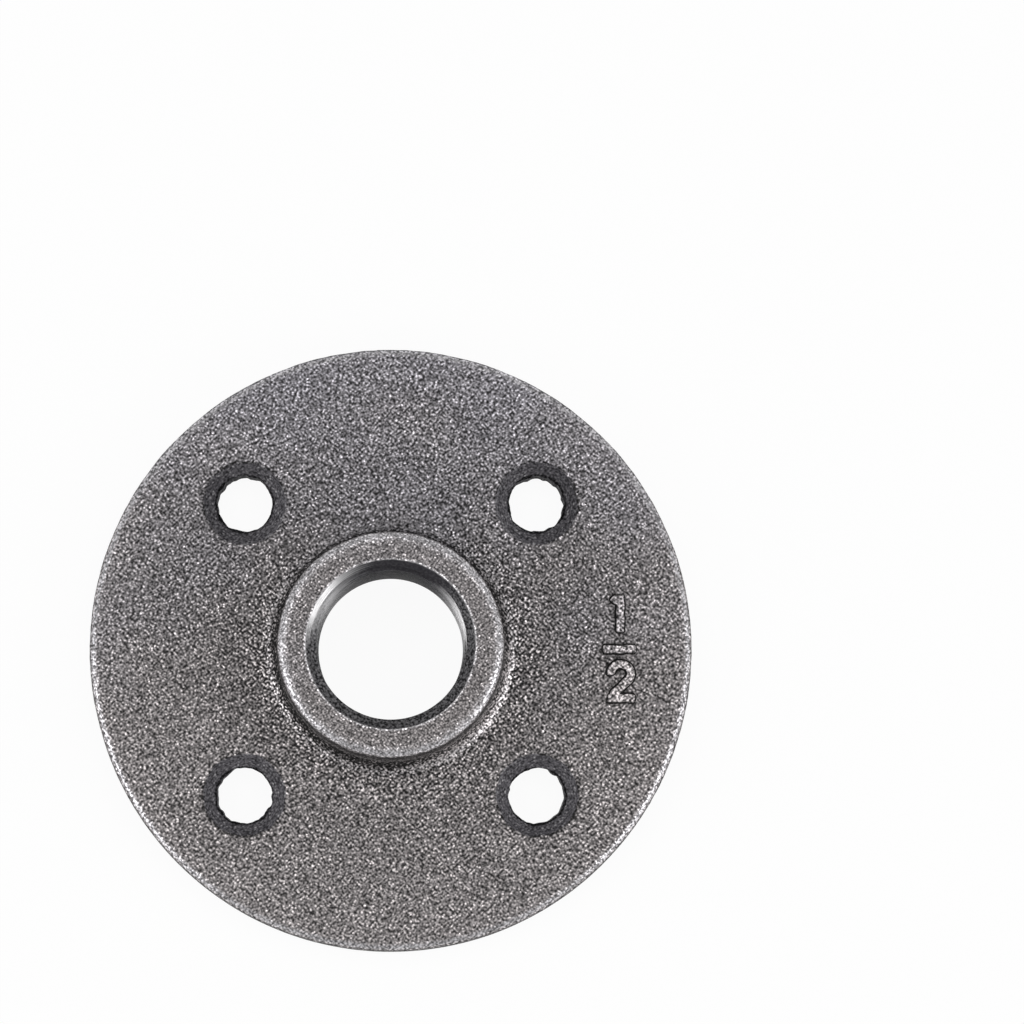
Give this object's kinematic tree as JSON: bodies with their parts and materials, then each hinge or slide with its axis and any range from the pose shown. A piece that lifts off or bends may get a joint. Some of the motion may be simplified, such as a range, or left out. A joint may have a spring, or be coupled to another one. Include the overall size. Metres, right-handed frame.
{
  "type": "threaded floor flange",
  "caption": "Round cast iron flange with a raised hub tapped for pipe and countersunk screw holes, for standing a pipe on a floor, wall or board.",
  "frame": {"origin": "on the pipe's axis, at the flat underside", "axes": "+Z along the pipe, out of the hub's face; the screw holes lie at 45 degrees between X and Y"},
  "size_m": [0.0762, 0.0762, 0.019],
  "materials": {
    "black_iron": "sand-cast skin with a thin dark coat"
  },
  "bodies": {
    "root": {"flange": "black_iron"}
  },
  "joints": []
}
